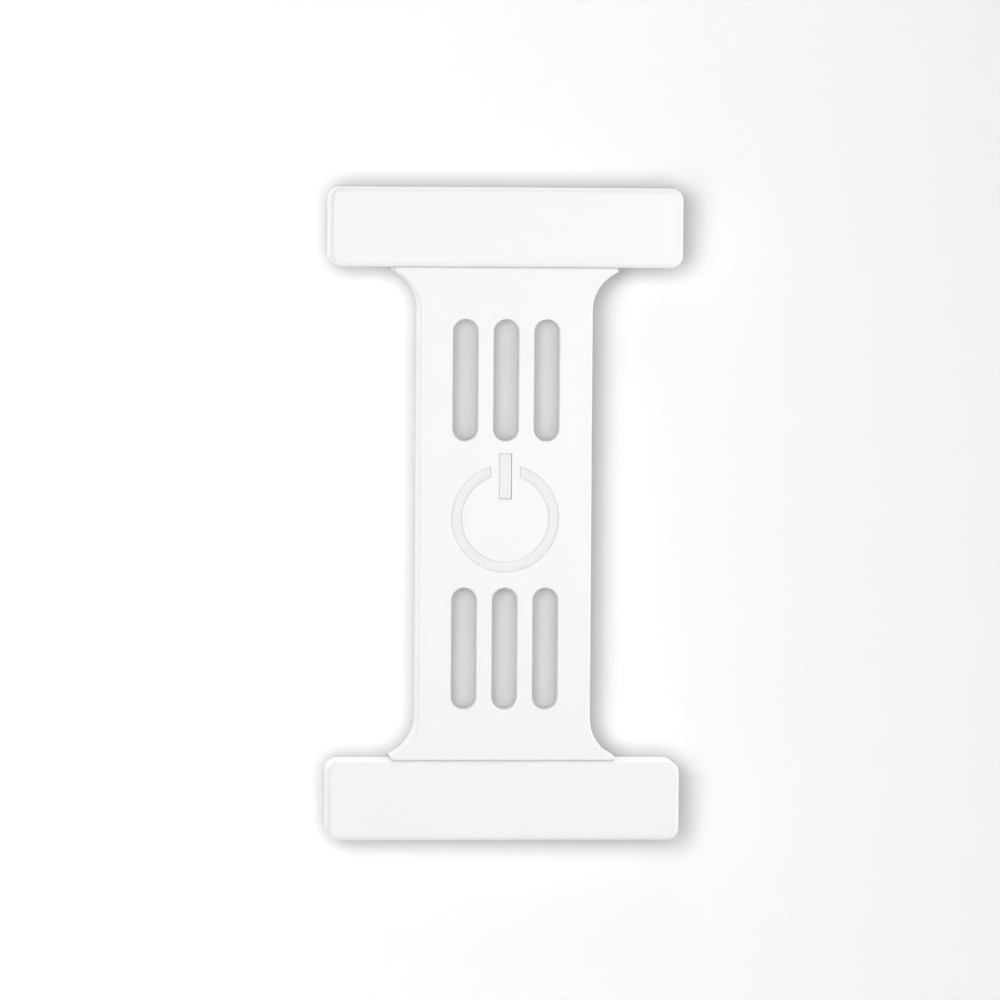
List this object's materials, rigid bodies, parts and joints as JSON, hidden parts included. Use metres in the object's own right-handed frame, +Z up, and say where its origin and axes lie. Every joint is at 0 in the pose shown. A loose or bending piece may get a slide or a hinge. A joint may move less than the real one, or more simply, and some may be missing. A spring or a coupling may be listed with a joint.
{
  "type": "wall battery unit",
  "caption": "Slim I-shaped wall battery: two cell bars joined by a flared, slotted spine with a ring and key power symbol, hung on a hooked steel bracket.",
  "frame": {"origin": "on the wall plane, at the centre of the bracket's four wall holes", "axes": "+Z up along the spine, +X to the right seen from the room, +Y into the wall, so the front faces -Y"},
  "size_m": [0.352, 0.056, 0.65],
  "materials": {
    "white_cover": "satin moulded, fine grain",
    "light_guide": "frosted translucent",
    "key_plastic": "satin moulded, fine grain",
    "filter_mat": "fine non-woven mat",
    "holder_plastic": "matte moulded",
    "frame_plastic": "matte moulded",
    "block_plastic": "matte moulded",
    "terminal_plastic": "matte moulded",
    "zinc_steel": "zinc plated sheet",
    "bracket_steel": "powder coated, fine texture",
    "screw_steel": "zinc plated",
    "nickel": "satin nickel strip",
    "brass": "turned",
    "gasket_rubber": "matte foam rubber",
    "pad_rubber": "matte",
    "cell_wrap": "shrink sleeve",
    "fibre_sheet": "fibre insulation sheet",
    "wire_insulation": "silicone insulation",
    "sink_aluminium": "extruded, satin",
    "thermal_silicone": "soft silicone pad",
    "circuit_board": "solder mask",
    "component_black": "moulded package",
    "ferrite": "ferrite",
    "capacitor_sleeve": "shrink sleeve",
    "led_lens": "clear package",
    "blower_plastic": "glass-filled",
    "plunger_plastic": "moulded"
  },
  "bodies": {
    "unit": {"blower_housing_left": "blower_plastic", "blower_housing_right": "blower_plastic", "bms_board": "circuit_board", "bms_posts": "brass", "bms_terminals": "terminal_plastic", "board_connector": "component_black", "cable_grommet": "gasket_rubber", "capacitors": "capacitor_sleeve", "chassis_plate": "zinc_steel", "chassis_screws": "screw_steel", "earth_stud": "brass", "heat_sink": "sink_aluminium", "indicator_board": "circuit_board", "inductors": "ferrite", "inner_screws": "screw_steel", "junction_block": "block_plastic", "light_ring": "light_guide", "lower_bar_bottom_holder": "holder_plastic", "lower_bar_cover": "white_cover", "lower_bar_gasket": "gasket_rubber", "lower_bar_screws": "screw_steel", "lower_bar_top_holder": "holder_plastic", "lower_busbars": "nickel", "lower_cells": "cell_wrap", "lower_dust_filter": "filter_mat", "lower_filter_frame": "frame_plastic", "lower_insulators": "fibre_sheet", "lower_leads": "wire_insulation", "lower_pass_grommet": "gasket_rubber", "main_fuse": "block_plastic", "power_board": "circuit_board", "spine_cover": "white_cover", "spine_gasket": "gasket_rubber", "spine_screws": "screw_steel", "status_leds": "led_lens", "switch_body": "component_black", "terminal_block": "terminal_plastic", "terminal_screws": "screw_steel", "thermal_pad": "thermal_silicone", "transistors": "component_black", "trunk_leads": "wire_insulation", "upper_bar_bottom_holder": "holder_plastic", "upper_bar_cover": "white_cover", "upper_bar_gasket": "gasket_rubber", "upper_bar_screws": "screw_steel", "upper_bar_top_holder": "holder_plastic", "upper_busbars": "nickel", "upper_cells": "cell_wrap", "upper_dust_filter": "filter_mat", "upper_filter_frame": "frame_plastic", "upper_insulators": "fibre_sheet", "upper_leads": "wire_insulation", "upper_pass_grommet": "gasket_rubber", "wall_bracket": "bracket_steel", "wall_pads": "pad_rubber"},
    "power_key": {"power_key": "key_plastic", "switch_plunger": "plunger_plastic"},
    "blower_rotor_left": {"blower_rotor_left": "blower_plastic"},
    "blower_rotor_right": {"blower_rotor_right": "blower_plastic"}
  },
  "joints": [
    {"name": "key_press", "type": "slide", "parent": "unit", "child": "power_key", "axis": [0, 1, 0], "range_m": [0, 0.0015], "stiffness_N_per_m": 1500, "springref_m": -0.0007},
    {"name": "blower_spin_left", "type": "hinge", "parent": "unit", "child": "blower_rotor_left", "pos_m": [-0.03, -0.0137, -0.101], "axis": [0, -1, 0], "continuous": true},
    {"name": "blower_spin_right", "type": "hinge", "parent": "unit", "child": "blower_rotor_right", "pos_m": [0.03, -0.0137, -0.101], "axis": [0, -1, 0], "continuous": true}
  ]
}
